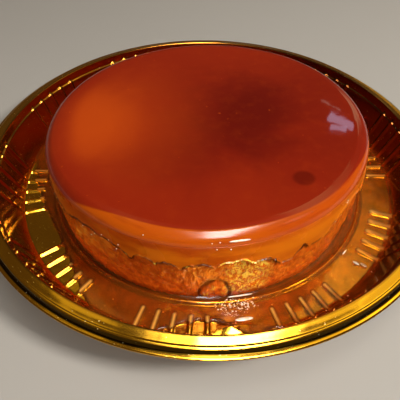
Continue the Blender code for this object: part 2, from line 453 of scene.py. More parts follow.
def rib_offset(platter, angles):
    """Signed angle from each direction to its nearest rib."""
    gap = wrap(angles[:, None] - rib_angles(platter))
    return gap[np.arange(len(angles)), np.abs(gap).argmin(1)]


def capsule(distance, half_width):
    """Rounded cross-section: 1 on the crest, 0 at the half width."""
    return (1 - unit(distance / half_width) ** 2.8) ** 1.3


def ring_profile(platter, radius):
    """Height of the raised ring over the floor at a radius."""
    return platter.ring_height * capsule(np.abs(radius - platter.ring_radius), RING_HALF_WIDTH)


def front_crease(angles, radius):
    """A shallow crease pressed into the floor between two front ribs."""
    middle, half, foot, top, run, height = CREASE
    side = wrap(angles - radians(middle)) / radians(half)
    rise = height * unit(1 - side ** 4) * smooth(foot, top, radius)
    return rise * (1 - unit((radius - top) / run))


def ledge_height(food, angles):
    """Mean height plus one rounded arch for each scallop."""
    rise = np.zeros_like(angles)
    for middle, half, height in SCALLOPS:
        d = np.abs(wrap(angles - radians(middle))) / radians(half)
        rise += height * np.sqrt(unit(1 - d * d))
    return food.ledge + rise


def side_radius(food, angles, height):
    """Radius of the bellied side with a slight unevenness."""
    bend = food.shoulder_low
    up, over = unit(height / bend), unit((height - bend) / (food.layer_top - bend))
    return (food.foot_radius + (food.radius - food.foot_radius) * up
            + food.belly * np.sin(pi * up)
            - (food.radius - food.flat_radius) * (1 - np.sqrt(1 - over * over))
            + 0.00022 * np.sin(3 * angles + 0.6) + 0.00012 * np.sin(7 * angles + 2))


def food_grid(food, sheet, angles, radius, height):
    """Points about the food's axis, raised a little on its higher side."""
    x = food.centre_x + radius * np.cos(angles)
    y = food.centre_y + radius * np.sin(angles)
    lift = (food.lean_x * x + food.lean_y * y) * height / food.lean_height
    return np.stack([x, y, sheet + height + lift], -1)


def pool_radius(platter, syrup, angles):
    """Full reach less the dry bays, drawn outwards along each rib."""
    cut = np.zeros_like(angles)
    for middle, low, high, depth in BAYS:
        d = wrap(angles - radians(middle))
        d = np.where(d > 0, d / radians(high), -d / radians(low))
        cut = np.maximum(cut, depth * np.cos(unit(d) * pi / 2) ** 0.9)
    ragged = 0.0008 * layered((angles * 9, 3.7, 0), 1, 3, 5)
    cling = 0.0022 * bell(rib_offset(platter, angles) * platter.rib_inner, 0.0016)
    return syrup.reach - cut + (ragged + cling) * smooth(0.001, 0.005, cut)


# ---------- platter
KNOB = (0.0012, 0.0019)  # height and half width at the top of each rib
WALL_TOP = 0.0243  # height over the floor where the ribs end


def platter_outline(platter):
    """Upper face from the middle to the lip: radius, height, fillet."""
    ring, beside = platter.ring_radius, RING_HALF_WIDTH + 0.0002
    return [
        (0, 0, 0), (ring - beside, 0, 0), (ring + beside, 0, 0),
        (platter.foot_radius, 0, 0.0018),
        (0.1391, 0.0245, 0.0007), (0.1399, 0.0248, 0.0004),
        (0.1414, 0.0303, 0.0005), (0.1438, 0.0299, 0.0012),
        (0.1463, 0.0292, 0.0003), (0.1473, 0.0294, 0.0004),
        (0.1484, 0.029, 0.0005), (0.1494, 0.0266, 0.0006),
        (platter.lip_radius, 0.0264, 0)]


def platter_step(radius):
    """Longest stretch between rows at a radius: finest on the ring."""
    for end, step in ((0.1049, 0.02), (0.1087, 0.0004), (0.13, 0.0008)):
        if radius < end:
            return step
    return 0.0016


def make_platter(platter):
    """The moulded sheet: the outline turned about Z, raised along ribs.

    Each point moves along the outline's normal by the rib's rounded
    section, measured across the rib and past its inner end, and by a small
    knob at its top end.
    """
    line = refine(rounded(platter_outline(platter), 5), platter_step)
    normal = outline_normals(line)[:, :, None]
    length = np.r_[0, np.cumsum(np.linalg.norm(np.diff(line, axis=0), axis=1))]
    angles = round_angles(platter)
    radius, height = line[:, 0], line[:, 1] + platter.sheet
    start = np.interp(platter.rib_inner + platter.rib_width, radius, length)
    top = length[np.argmin(np.abs(line[:, 1] - WALL_TOP) + (radius < 0.13))]
    across = np.abs(rib_offset(platter, angles)) * radius[:, None]
    past = np.maximum(start - length, length - (top - 0.0006))
    past = np.maximum(past, 0)[:, None]
    rib = platter.rib_height * capsule(np.hypot(across, past), platter.rib_width)
    rib = rib * (1 - 0.25 * smooth(0, 0.012, length - start)[:, None])
    knob_height, knob_width = KNOB
    knob = knob_height * capsule(np.hypot(across, (length - top)[:, None]), knob_width)
    raised = (np.maximum(rib, knob) + ring_profile(platter, radius)[:, None]
              + front_crease(angles, radius[:, None]))
    upper = turned_grid(angles, radius[:, None] + normal[:, 0] * raised,
                        height[:, None] + normal[:, 1] * raised)
    # underside: a plainer outline, one sheet thickness below
    line = refine(rounded(platter_outline(platter), 3), lambda r: 0.05 if r < 0.12 else 0.006)
    under = (line - outline_normals(line) * platter.sheet)[::-1, :, None]
    height = np.maximum(under[:, 1], -platter.sheet) + platter.sheet
    lower = turned_grid(angles, under[:, 0], height)
    grid = np.concatenate([upper, lower])
    grid[[0, -1], :, :2] = 0
    return surface("platter_dish", grid)


def platter_finish(look):
    """Mirror-bright gold film with faint ripples, smudges and dust, and painted dark reflections and
    shade on the wall, beside the ring and under the lip.
    """
    f = Finish("platter_gold_film")
    ripples = f.noise(46, 2, 0.5)
    fine = f.noise(420, 2, 0.6)
    smudge = f.noise(30, 4, 0.6, 1.2).ramp(0.42, 0.72)
    speck = f.noise(900, 1, 0.5).ramp(0.73, 0.78)
    radius = f.distance()
    # painted reflection: the wall is darkened towards maroon, most of all on the right
    wall = radius.band(0.1275, 0.1325, 0.1415, 0.1432)
    dark_reflection_right = f.x.ramp(0.03, 0.1) * 0.75 + f.x.ramp(0.05, 0.09) * (1 - f.y.ramp(-0.07, -0.01)) * 0.2
    # painted shade: the floor darkened in a band on each side of the raised ring
    beside_ring = (radius.ramp(0.103, 0.1045)
                   - radius.band(0.104, 0.1052, 0.1068, 0.109)) * 0.75 \
        * (1 - radius.ramp(0.1088, 0.11))
    # painted shade: the skirt under the lip darkened nearly to black
    painted_skirt_shade = radius.band(0.1481, 0.1486, 0.15, 0.1508)
    gold = look.gold
    colour = f.coats(
        gold, (wall * 0.8, dimmed(gold, 0.34, 0.22, 0.6)),
        (wall * dark_reflection_right, dimmed(gold, 0.07, 0.03, 0.3)),
        (beside_ring, dimmed(gold, 0.22)), (painted_skirt_shade * 0.99, dimmed(gold, 0.04)),
        (speck * 0.35, (0.95, 0.8, 0.55)))
    return f.finish({"Base Color": colour, "Metallic": 1,
                     "Roughness": 0.12 + smudge * 0.05 + speck * 0.25,
                     "Normal": f.bump(ripples + fine * 0.03, 1, 0.00035)})


# ---------- the custard
# hollows of the torn side: middle (degrees), height, half sizes, depth
HOLLOWS = (
    (-76, 0.019, 0.009, 0.008, 0.0006), (-109, 0.021, 0.01, 0.0085, 0.0007),
    (-100, 0.019, 0.007, 0.008, 0.0005), (-128, 0.02, 0.011, 0.01, 0.0007),
    (-60, 0.015, 0.008, 0.008, 0.0006), (20, 0.016, 0.012, 0.01, 0.0009),
    (95, 0.02, 0.012, 0.009, 0.0008), (150, 0.015, 0.011, 0.009, 0.0008),
)

# the arch at the foot of the front: middle (degrees), height, half sizes
ARCH = (-87, 0.006, 0.0098, 0.0152)

# section of the ledge's lip: share of how far it stands out, height
LIP = ((0.2, 0.0001), (0.9, 0), (1, 0.0001), (0.85, 0.00022), (0.35, 0.00045), (0.1, 0.00075))


def pocket(angles, z, radius, middle, height, half_width, half_height):
    """0 outside an oval hollow on the side, rising to 1 at its middle."""
    u = wrap(angles - radians(middle)) * radius / half_width
    v = (z - height) / half_height
    return unit(1 - u * u - v * v)


def make_custard(food, sheet):
    """The custard's side as rows that follow the torn ledge.

    Rows below share out the ledge's height, a few turn round its lip, and
    rows above share out the rest up to the layer.  Radii: the smooth side
    above, less the set-back, hollows and layered noise below.
    """
    # angles closer together at the torn front
    angles = np.radians(np.r_[-118:-52:0.15, -52:242:0.43])
    top = food.layer_low - 0.0001
    u, w = np.cos(angles) * food.radius, np.sin(angles) * food.radius
    rim = (u, w, 0)
    torn = (ledge_height(food, angles) + 0.001 * grain(rim, 150, 3)
            + 0.00055 * layered(rim, 520, 3, 11))
    strong = 0.55 + 0.45 * grain(rim, 45, 23)
    front = bell(wrap(angles + radians(77)), 0.2)
    proud = 0.00035 + 0.0005 * strong + 0.0005 * front

    z = (1 - (1 - np.linspace(0, 1, 42)) ** 1.5)[:, None] * torn
    lumps = grain((u, w, z), (120, 120, 160), 41)
    spongy = layered((u, w, z), 380, 4, 31, gain=0.62)
    flakes = 1 - np.abs(layered((u, w, z), (760, 760, 860), 2, 33))
    glint = front * smooth(0, 0.006, z) * smooth(0, 0.003, torn - z)
    set_back = (food.recess * (0.75 + 0.3 * lumps)
                * (0.5 + 0.5 * smooth(0, 0.014, z)) * (0.7 + 0.3 * strong))
    arch = pocket(angles, z, food.radius, *ARCH)
    dents = 0.0011 * smooth(0, 0.14, arch) - 0.0014 * smooth(0.16, 0.62, arch)
    for *oval, depth in HOLLOWS:
        hollow = pocket(angles, z, food.radius, *oval)
        dents = dents + depth * smooth(0, 0.45, hollow) * (1 - 0.65 * smooth(0.35, 1, hollow))
    low = (side_radius(food, angles, z) - set_back - dents + 0.00036 * spongy
           + 0.0006 * glint * (flakes - 0.5) - 0.0004 * np.exp(-z / 0.0007))

    base = side_radius(food, angles, torn)
    lip_out, lip_up = np.array(LIP).T[:, :, None]
    lip = np.vstack([base - 0.75 * food.recess, base + lip_out * proud])
    lip_z = np.vstack([torn + 0.0002, torn + lip_up])

    start = lip_z[-1]
    rise = np.r_[np.linspace(0, 1, 29)[1:-1] ** 1.25, 0.996, 1]
    up = start + rise[:, None] * (top - start)
    rough = (0.1 * proud * np.exp(-(up - start) / 0.006)
             + 0.00016 * layered((u, w, up), (34, 34, 50), 3, 51)
             + 0.0001 * np.exp(-(up - start) / 0.002) * layered((u, w, up), 300, 2, 53))
    high = side_radius(food, angles, up) + rough * smooth(0, 0.0035, top - up)

    radius = np.concatenate([low, lip, high])
    share = np.array([0, 0.5, 0.999])[:, None]
    radius = np.concatenate([share * radius[0], radius, share[::-1] * radius[-1]])
    height = np.pad(np.concatenate([z, lip_z, up]), ((3, 3), (0, 0)), "edge")
    piece = surface("custard_body", food_grid(food, sheet, angles, radius, height))
    return noted(piece, "below_ledge", torn - height)


def custard_finish(look, food, sheet):
    """Moist custard: amber stains, painted shade at the torn ledge, the foot and the left, and
    painted highlights on the side.
    """
    f = Finish("custard_moist")
    side, deep, painted_glint = look.side, look.side_deep, look.painted_glint
    around = f.around(food.centre_x, food.centre_y)
    below = f.note("below_ledge")
    height = f.z - sheet
    cloud = f.noise(38, 3, 0.55, 0.6)
    streak = f.noise(24, 3, 0.6, 0.4, at=f.stretched((1, 1, 3.2)))
    spongy = f.noise(260, 4, 0.6)
    flakes = f.noise(480, 2, 0.6).ramp(0.46, 0.57)
    uneven = f.noise(150, 2, 0.5)
    strokes = f.noise(300, 2, 0.5, at=f.stretched((1, 1, 0.3)))
    grains = f.noise(700, 3, 0.65)
    torn = below.ramp(-0.0001, 0.0002)
    # painted light: fewer dark streaks on the right and front, where the side is lit
    bright = around.band(-1.75, -0.9, 1.2, 2.8)
    lit = around.band(-2.75, -1.75, 2, 3.1)
    zone = around.band(-1.5, -1.43, -1.27, -1.19) * height.ramp(0.003, 0.009) * torn
    # painted shadow: the side darkened just under the caramel layer
    shadow_under_layer = height.ramp(food.layer_low - 0.0034, food.layer_low)
    # painted shade: the side darkened towards its foot
    foot = 1 - height.ramp(0.0005, 0.008)
    # the arch at the foot: a painted shadow as a dark uneven ring round painted highlight strokes
    arch = (((around + 1.518) * 0.0998 / 0.0088) ** 2
            + ((height - 0.004) / 0.016) ** 2) ** 0.5 + (uneven - 0.5) * 0.35
    ring = arch.band(0.84, 0.96, 1.02, 1.3) * (0.45 + uneven.ramp(0.35, 0.6) * 0.5)
    highlight_strokes = strokes.ramp(0.54, 0.62) * (1 - arch.ramp(0.74, 0.84)) \
        * arch.ramp(0.3, 0.5) * 0.8
    # the ledge: painted shade under it and a painted highlight on its lip, weaker in places
    front = around.band(-1.55, -1.5, -1.34, -1.28)
    right = around.band(-1, -0.7, -0.3, 0.1)
    shade = below.band(-0.001, -0.0004, 0.0008, 0.0034) \
        * (uneven.ramp(0.3, 0.55) * 0.85 + 0.1) * (1 - right * 0.6) * (1 - front * 0.8)
    lip = below.band(-0.0007, -0.0004, -0.0001, 0.0001) \
        * (uneven.ramp(0.6, 0.68) * 0.6 + front * uneven.ramp(0.38, 0.5) * 0.9)
    smooth_side = f.mix(streak.ramp(0.35, 0.66) * (1 - bright * 0.55), side, deep)
    rough_side = f.mix(spongy.ramp(0.36, 0.64), deep, look.torn)
    # painted highlights: the torn front lightened and flecked with glints
    colour = f.coats(smooth_side, (torn, rough_side), (zone * 0.5, side), (zone * flakes, painted_glint))
    # painted shade: the side darkened on the left, away from the light
    colour = f.mix(lit * 0.6 + 0.4, dimmed(deep, 0.62), colour)
    colour = f.coats(
        colour, (shadow_under_layer * 0.5, deep), (foot * 0.7, dimmed(deep, 0.45)),
        (ring, dimmed(deep, 0.2)), (highlight_strokes, painted_glint),
        (shade, dimmed(deep, 0.13)), (lip, painted_glint))
    relief = cloud * 0.6 + spongy * 0.35 * torn + grains * (0.22 + zone * 0.5) * torn
    return f.finish({"Base Color": colour, "Specular IOR Level": 0.4,
                     "Roughness": 0.2 + cloud.ramp(0.3, 0.7) * 0.14,
                     "Normal": f.bump(relief, 0.8, 0.0006)})


# ---------- the caramel layer
def make_caramel(food, sheet):
    """A flat disc whose broad shoulder is a quarter of an ellipse.

    A narrow straight slope leads into the ellipse.  The top carries a very
    low swell; the shoulder ends flush with the custard, past a crease.
    """
    angles = np.arange(420) * tau / 420
    out, flat, top = food.radius, food.flat_radius, food.layer_top
    low, bend = food.layer_low, food.shoulder_low
    first, last = radians(20), acos((low - bend) / (top - bend))
    slope_r = (out - flat) * sin(first)
    slope_z = (top - bend) * (cos(first) - 1)
    rows = [(0, top), *((r, top) for r in np.linspace(0.004, flat - 0.00004, 44)),
            *((flat + slope_r * t, top + slope_z * t) for t in (0.014, 0.35, 0.65, 0.95)),
            *((flat + (out - flat) * sin(a), bend + (top - bend) * cos(a))
              for a in np.linspace(first, last, 28))]
    edge = rows[-1][0]
    rows[-1:] = [(edge, low + 0.00008), (edge - 0.00008, low),
                 (flat, low), (flat * 0.5, low), (0, low)]
    radius, height = (np.array(rows)[:, k:k + 1] + 0 * angles for k in (0, 1))
    uneven = side_radius(food, angles, bend) - out
    radius = radius + uneven * smooth(0.6 * out, out, radius)
    radius = radius + 0.00003 * bell(height - food.crease, 0.00035) * (radius > flat)
    x, y = radius * np.cos(angles), radius * np.sin(angles)
    swell = 0.00011 * layered((x, y, 0), 26, 2, 61)
    height = height + np.minimum(swell * smooth(top - 0.003, top, height), 0)
    return surface("caramel_layer", food_grid(food, sheet, angles, radius, height))


def caramel_finish(look, food, sheet):
    """Wet red-brown caramel, clouded darker and lighter, with a painted glow of light through its
    rounded edge.
    """
    f = Finish("caramel_glossy")
    red, dark, amber = look.caramel_red, look.caramel_dark, look.caramel_amber
    middle = (food.centre_x, food.centre_y)
    radius, around = f.distance(*middle), f.around(*middle)
    drift = f.noise(17, 4, 0.55, 0.8) - 0.5

    def cloud(x0, y0, rx, ry, uneven, low, high):
        return 1 - (f.distance(x0, y0, rx, ry) + drift * uneven).ramp(low, high)

    inside = 1 - radius.ramp(0.08, 0.092) * 0.8
    spot = 1 - f.distance(0.0509, -0.0631, 0.0066, 0.0062).ramp(0.7, 1.1)
    mottle = f.noise(120, 4, 0.6).ramp(0.45, 0.75)
    pits = f.noise(330, 1, 0.5).ramp(0.765, 0.8)
    colour = f.coats(
        red, (f.x.ramp(0.02, 0.1) * 0.4, dark),
        (cloud(0.022, -0.004, 0.058, 0.074, 1.3, 0.15, 1.35) * 0.65, dark),
        (cloud(0.024, -0.006, 0.032, 0.052, 1.5, 0.2, 1.2) * 0.6, dimmed(dark, 0.8)),
        (cloud(-0.02, -0.048, 0.05, 0.026, 0.9, 0.2, 1.1) * 0.25, dark),
        (cloud(-0.066, -0.006, 0.076, 0.078, 0.9, 0.1, 1.1) * inside * 0.3, amber),
        (cloud(-0.073, -0.008, 0.036, 0.046, 0.9, 0.15, 1.1) * inside * 0.85, amber),
        (spot * 0.55, dimmed(dark, 0.55)), (mottle * 0.07, amber), (pits * 0.5, amber))
    # the shoulder: a painted glow, light seen through the layer's rounded edge; where it begins
    # differs round the food
    edge = food.flat_radius + 0.0018 + (1 - around.ramp(-2.5, -1.95)) * 0.0063 \
        + around.ramp(-1.36, -0.8) * 0.0014 + around.ramp(-0.7, 0.1) * 0.0052
    glow = f.noise(60, 2, 0.5).ramp(0.3, 0.7)
    lower = 1 - (f.z - sheet).ramp(food.layer_low, food.layer_low + 0.0022)
    redder = around.band(-1.45, -1.1, 1.5, 3)
    streaks = f.noise(30, 3, 0.6, at=f.stretched((1, 1, 14))).ramp(0.5, 0.66)
    # painted glow: the shoulder's tone, varied, redder on the right and darker towards the layer's
    # underside
    side = f.coats(look.shoulder, (glow * 0.25, amber),
                   (lower * 0.55, display(168, 66, 8)),
                   (redder * 0.4, red), (streaks * 0.35, red))
    rough = (radius - food.flat_radius).ramp(0, 0.0008) * 0.12 + lower * 0.25 + 0.035
    normal = f.bump(f.noise(55, 2, 0.5) + pits * 0.6, 0.15, 0.0003)
    return f.finish({"Base Color": f.mix((radius - edge).ramp(0, 0.001), colour, side),
                     "Roughness": rough, "Specular IOR Level": 0.32, "Normal": normal})


# ---------- the syrup
def make_syrup(platter, food, syrup):
    """A sheet of syrup: height over angle and distance from its edge.

    Level, it climbs a little at the custard and the wall, follows the ribs
    as a film and falls over a rounded edge.  Its underside lies just inside
    the platter's sheet.
    """
    angles = round_angles(platter)
    outer = pool_radius(platter, syrup, angles)
    toward = food.centre_x * np.cos(angles) + food.centre_y * np.sin(angles)
    inner = food.foot_radius - 0.005 + toward
    share = np.r_[np.linspace(0, 0.8, 66), 1 - 0.2 * np.linspace(1, 0, 24) ** 1.6]
    share = np.unique(np.round(share, 6))[:, None]
    radius = inner + (outer - inner) * share
    x, y = radius * np.cos(angles), radius * np.sin(angles)
    inside = np.maximum(outer - radius, 0)
    from_food = np.hypot(x - food.centre_x, y - food.centre_y) - food.foot_radius
    # level, climbing at the food; rounded where dry, climbing at the wall
    level = (syrup.level + 0.00005 * grain((x, y, 0), 150, 71)
             + 0.0006 * np.exp(-unit(from_food) / 0.0007))
    dry = smooth(0.0006, 0.003, syrup.reach - outer)
    lens = np.sqrt(unit(1 - (1 - unit(inside / syrup.edge)) ** 2))
    at_wall = np.maximum(radius - (platter.foot_radius - 0.0012), 0)
    level = level * (dry * lens + (1 - dry)) + (1 - dry) * 0.35 * at_wall
    zone = bell(wrap(angles + radians(81.5)), 0.13) * bell(radius - 0.1085, 0.0036)
    level = level + 0.00022 * zone * layered((x, y, 0), 900, 2, 81)
    # a film over the ribs and the ring
    across = np.abs(rib_offset(platter, angles)) * radius
    past = np.maximum(platter.rib_inner + platter.rib_width - radius, 0)
    from_rib = np.hypot(across, past)
    rib = platter.rib_height * capsule(from_rib, platter.rib_width)
    film = (rib + syrup.film) * smooth(0, 0.0012, inside)
    over = np.where(rib > 1e-6, np.maximum(level, film), level)
    over = np.maximum(over, ring_profile(platter, radius) + syrup.film)
    upper = turned_grid(angles, radius, platter.sheet + np.maximum(over, 0))
    picks = np.linspace(len(share) - 1, 0, 6).astype(int)
    lower = turned_grid(angles, radius[picks], platter.sheet * 0.55)
    piece = surface("syrup_pool", np.concatenate([upper, lower]), poles=False)
    # painted shade along the dry edge, beside ribs and ring and at the food; a painted highlight
    # along the ribs, widest at the right
    outline = (1 - smooth(0.0012, 0.0024, inside)) * dry * smooth(0, 0.0004, inside + 0.0002)
    beside_ring = np.abs(radius - platter.ring_radius) - 0.0019
    dim = np.maximum.reduce([outline, 0.8 * bell(from_rib - platter.rib_width, 0.0005),
                             0.65 * bell(beside_ring, 0.0006),
                             0.8 * bell(from_food, 0.0014)])
    wide = 0.0008 + 0.0009 * bell(wrap(angles) + 0.35, 0.3)
    crest = bell(from_rib, wide) * smooth(0, 0.002, inside)
    for name, values in (("crest", crest), ("dim", dim)):
        noted(piece, name, np.concatenate([values, 0 * values[picks]]), poles=False)
    return piece


def balls(name, middles, angles, halves):
    """Many small ovals in one mesh, one for each middle.

    Each is a ball of latitude and longitude with half sizes round the axis
    at its angle, outwards and up.
    """
    lat = np.linspace(0, pi, 9)[1:-1, None]
    lon = np.arange(12) * tau / 12
    ball = np.stack([np.sin(lat) * np.cos(lon), np.sin(lat) * np.sin(lon), np.cos(lat) + 0 * lon], -1)
    points = np.vstack([ball.reshape(-1, 3), (0, 0, 1), (0, 0, -1)])
    quads, tris = woven(ball.shape, True)
    zero = 0 * angles
    along = np.stack([np.sin(angles), -np.cos(angles), zero], -1)
    out = np.stack([np.cos(angles), np.sin(angles), zero], -1)
    up = np.stack([zero, zero, zero + 1], -1)
    axes = np.stack([along, out, up], 1) * halves[:, :, None]
    verts = middles[:, None] + np.einsum("pk,nkj->npj", points, axes)
    start = np.arange(len(middles))[:, None, None] * len(points)
    return mesh_piece(name, verts.reshape(-1, 3),
                      (quads[:, [0, 3, 2, 1]] + start).reshape(-1, 4),
                      (tris[:, [0, 2, 1]] + start).reshape(-1, 3))


def make_bubbles(platter, syrup):
    """Small bubbles along the syrup's front edge, placed by fixed noise.

    Their middles lie a little below the syrup's surface.
    """
    pick = draws(syrup.bubbles, 17, 91)
    angle = np.radians(-104 + 22 * pick[0])
    size = 0.00032 + 0.0005 * pick[1] ** 2
    radius = pool_radius(platter, syrup, angle) - syrup.edge * (0.25 + 0.9 * pick[2]) - size
    middles = turned_grid(angle, radius, platter.sheet + syrup.level * 0.8)
    return balls("syrup_bubbles", middles, angle, np.repeat(size[:, None], 3, 1))


# pale beads painted as highlights on the side: angle (degrees), height, half length
HIGHLIGHT_BEADS = (
    (-80.6, 0.0508, 0.0056), (-88.4, 0.0505, 0.0004), (-86.2, 0.0508, 0.0004),
    (-87, 0.0471, 0.0004), (-83.1, 0.0465, 0.0004), (-131.7, 0.0395, 0.0007),
    (-131, 0.0372, 0.0004), (-126.7, 0.0395, 0.0004), (-125.6, 0.0377, 0.0005),
    (-127.2, 0.0349, 0.0004), (-122.5, 0.0404, 0.0004), (-119.9, 0.0392, 0.0004),
    (-116.4, 0.0388, 0.0005), (-117.3, 0.0346, 0.0004), (-108.1, 0.0512, 0.0003),
    (-46, 0.0363, 0.0004), (-40.5, 0.0432, 0.0005), (-40, 0.0441, 0.0004),
)

# pale patches painted as highlights on the syrup: angle (degrees), radius, half sizes round and
# outwards, height of the middle over the syrup
FLOOR_HIGHLIGHT_BEADS = (
    (-80, 0.1042, 0.0075, 0.0005, 0.0004), (-80.5, 0.1188, 0.0052, 0.0012, 0),
    (-41.2, 0.1194, 0.0009, 0.0022, 0), (-40.4, 0.1235, 0.0009, 0.0022, 0),
    (-39.8, 0.1101, 0.0026, 0.0004, 0.0001), (-52, 0.1294, 0.0004, 0.0004, 0.0005),
    (-57.7, 0.1295, 0.0004, 0.0004, 0.0005), (-59.6, 0.1294, 0.0003, 0.0003, 0.0005),
    (-41.2, 0.1294, 0.0003, 0.0003, 0.0005),
)


def make_froth_and_highlights(platter, food, syrup):
    """Pale specks: painted glints on the torn side, painted highlights as listed beads and patches,
    and froth before the food whose paleness is painted glitter.

    Beads are half sunk in the side; the froth's places are sums of two
    fixed noises, so that they crowd to the middle.
    """
    # on the side: painted glints as specks crowding at the front, then the listed highlight beads
    crowd = syrup.froth // 2
    pick = draws(crowd, 29, 101)
    table = np.stack([-79 + 5.4 * (pick[0] + pick[1] - 1),
                      0.017 + 0.0105 * (pick[2] + pick[3] - 1),
                      0.00016 + 0.00018 * pick[4]], -1)
    degrees, height, half = np.vstack([table, HIGHLIGHT_BEADS]).T
    angle = np.radians(degrees)
    side = side_radius(food, angle, height)
    side[:crowd] -= 0.62 * food.recess
    thick = np.where(half > 0.002, 0.00062, 0.00034)
    thick[:crowd] = half[:crowd]
    on_side = food_grid(food, platter.sheet, angle, side, height)
    # on the syrup: froth crowding before the food, pale as painted glitter, then the listed highlight
    # patches
    pick = draws(syrup.froth, 23, 97)
    turned = np.radians(-81.6 + 7.5 * (pick[0] + pick[1] - 1))
    radius = 0.1093 + 0.0048 * (pick[2] + pick[3] - 1)
    size = 0.00013 + 0.00026 * pick[4] ** 2
    over = np.maximum(syrup.level, ring_profile(platter, radius))
    specks = turned_grid(turned, radius, platter.sheet + over + 0.1 * size)
    degrees, radius, half_round, half_out, lift = np.array(FLOOR_HIGHLIGHT_BEADS).T
    flat_angle = np.radians(degrees)
    patches = turned_grid(flat_angle, radius, platter.sheet + syrup.level + lift)
    halves = [(half, thick, thick * 0.9), (size * 1.5, size, size),
              (half_round, half_out, np.full(len(lift), 0.0003))]
    return balls("froth_and_highlight_specks", np.vstack([on_side, specks, patches]),
                 np.r_[angle, turned, flat_angle],
                 np.vstack([np.stack(sizes, -1) for sizes in halves]))


def syrup_finish(look):
    """Amber syrup: mostly clear, with a little cloudy body.

    It has painted shade at its dry edge and beside the ribs, is darker on the left, has painted
    highlights on the rib crests, and glitters in front.
    """
    f = Finish("syrup_clear")
    dim, crest = f.note("dim"), f.note("crest")
    froth = 1 - f.distance(0.0135, -0.1085, 0.012, 0.0075).ramp(0.5, 1.1)
    relief = f.noise(160, 3, 0.55) + froth * f.noise(950, 2, 0.6) * 9
    wet = {"Roughness": 0.03, "Normal": f.bump(relief, 0.5, 0.00025)}
    # painted shade: the clear part darkened where the dim note is high
    clear = f.shader({
        **wet, "Base Color": f.mix(dim * 0.85, look.syrup, (0.4, 0.16, 0.02)),
        "Transmission Weight": 1, "IOR": 1.25})
    swirl = f.noise(70, 4, 0.6, 1.5)
    right = f.x.ramp(-0.01, 0.075)
    body = look.syrup_body
    # painted shade: the cloudy body darker on the left and where the dim note is high; painted
    # highlight: orange on the rib crests
    tone = f.coats(f.mix(right, dimmed(body, 0.58), body),
                   (swirl.ramp(0.35, 0.7), dimmed(body, 0.42)),
                   (dim * 0.85, (0.1, 0.03, 0.004)),
                   (crest * 0.9, (0.97, 0.53, 0.1)))
    cloudy = f.shader({**wet, "Base Color": tone, "Specular IOR Level": 0.2})
    share = 0.46 - 0.1 * right + 0.12 * swirl.ramp(0.4, 0.7) + 0.4 * crest + 0.25 * dim
    return f.close(f.add("ShaderNodeMixShader", {}, {0: share, 1: clear, 2: cloudy}))


def bubble_finish(look):
    """Thin bright skin of a bubble in amber syrup."""
    f = Finish("syrup_bubble_skin")
    tone = f.mix(f.noise(500, 2, 0.5).ramp(0.4, 0.6), (0.16, 0.06, 0.01), look.caramel_amber)
    return f.finish({"Base Color": tone, "Roughness": 0.08, "Transmission Weight": 0.6, "IOR": 1.3})


def froth_and_highlight_finish():
    """Pale froth and painted highlights, nearly white; golden where they are painted glints on the
    torn side.
    """
    f = Finish("froth_and_highlight_pale")
    tone = f.mix(f.noise(400, 2, 0.5).ramp(0.3, 0.6), (0.95, 0.72, 0.42), (0.97, 0.92, 0.82))
    # painted glints: golden on the torn side
    torn = f.z.band(0.004, 0.006, 0.033, 0.035)
    return f.finish({"Base Color": f.mix(torn, tone, (1, 0.66, 0.16)), "Roughness": 0.2})


# ---------- operators
def dressed(piece, node, material):
    """Give a piece its finish in a slot and its body, and hide the node it stands for."""
    piece.data.materials.append(material)
    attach(piece, "root")
    if node:
        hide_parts(node)


class CUSTARD_OT_platter(Operator):
    """Make the moulded gold platter"""
    bl_idname = "custard.platter"
    bl_label = "Platter"

    def execute(self, context):
        scene = context.scene
        dressed(make_platter(scene.platter_sizes), "platter",
                platter_finish(scene.look_colours))
        return {"FINISHED"}


class CUSTARD_OT_custard(Operator):
    """Make the custard's body with its torn ledge"""
    bl_idname = "custard.custard"
    bl_label = "Custard"

    def execute(self, context):
        scene = context.scene
        food, sheet = scene.food_sizes, scene.platter_sizes.sheet
        dressed(make_custard(food, sheet), "custard",
                custard_finish(scene.look_colours, food, sheet))
        return {"FINISHED"}


class CUSTARD_OT_caramel(Operator):
    """Make the glossy caramel layer"""
    bl_idname = "custard.caramel"
    bl_label = "Caramel layer"

    def execute(self, context):
        scene = context.scene
        food, sheet = scene.food_sizes, scene.platter_sizes.sheet
        dressed(make_caramel(food, sheet), "caramel_top",
                caramel_finish(scene.look_colours, food, sheet))
        return {"FINISHED"}


class CUSTARD_OT_syrup(Operator):
    """Make the pool of syrup, its bubbles, its froth and pale specks painted as highlights"""
    bl_idname = "custard.syrup"
    bl_label = "Syrup"

    def execute(self, context):
        scene = context.scene
        platter, food, syrup = scene.platter_sizes, scene.food_sizes, scene.syrup_sizes
        dressed(make_syrup(platter, food, syrup), "caramel_pool",
                syrup_finish(scene.look_colours))
        dressed(make_bubbles(platter, syrup), None, bubble_finish(scene.look_colours))
        dressed(make_froth_and_highlights(platter, food, syrup), None, froth_and_highlight_finish())
        return {"FINISHED"}


# ---------- stage
MIDDLE = (0, 0, 0.03)
GLINT = (0.083, -0.008, 0.058)  # where the window shows on the top
WARM, WALL, SKY = (1, 0.95, 0.88), (1, 0.88, 0.32), (0.62, 0.7, 1)

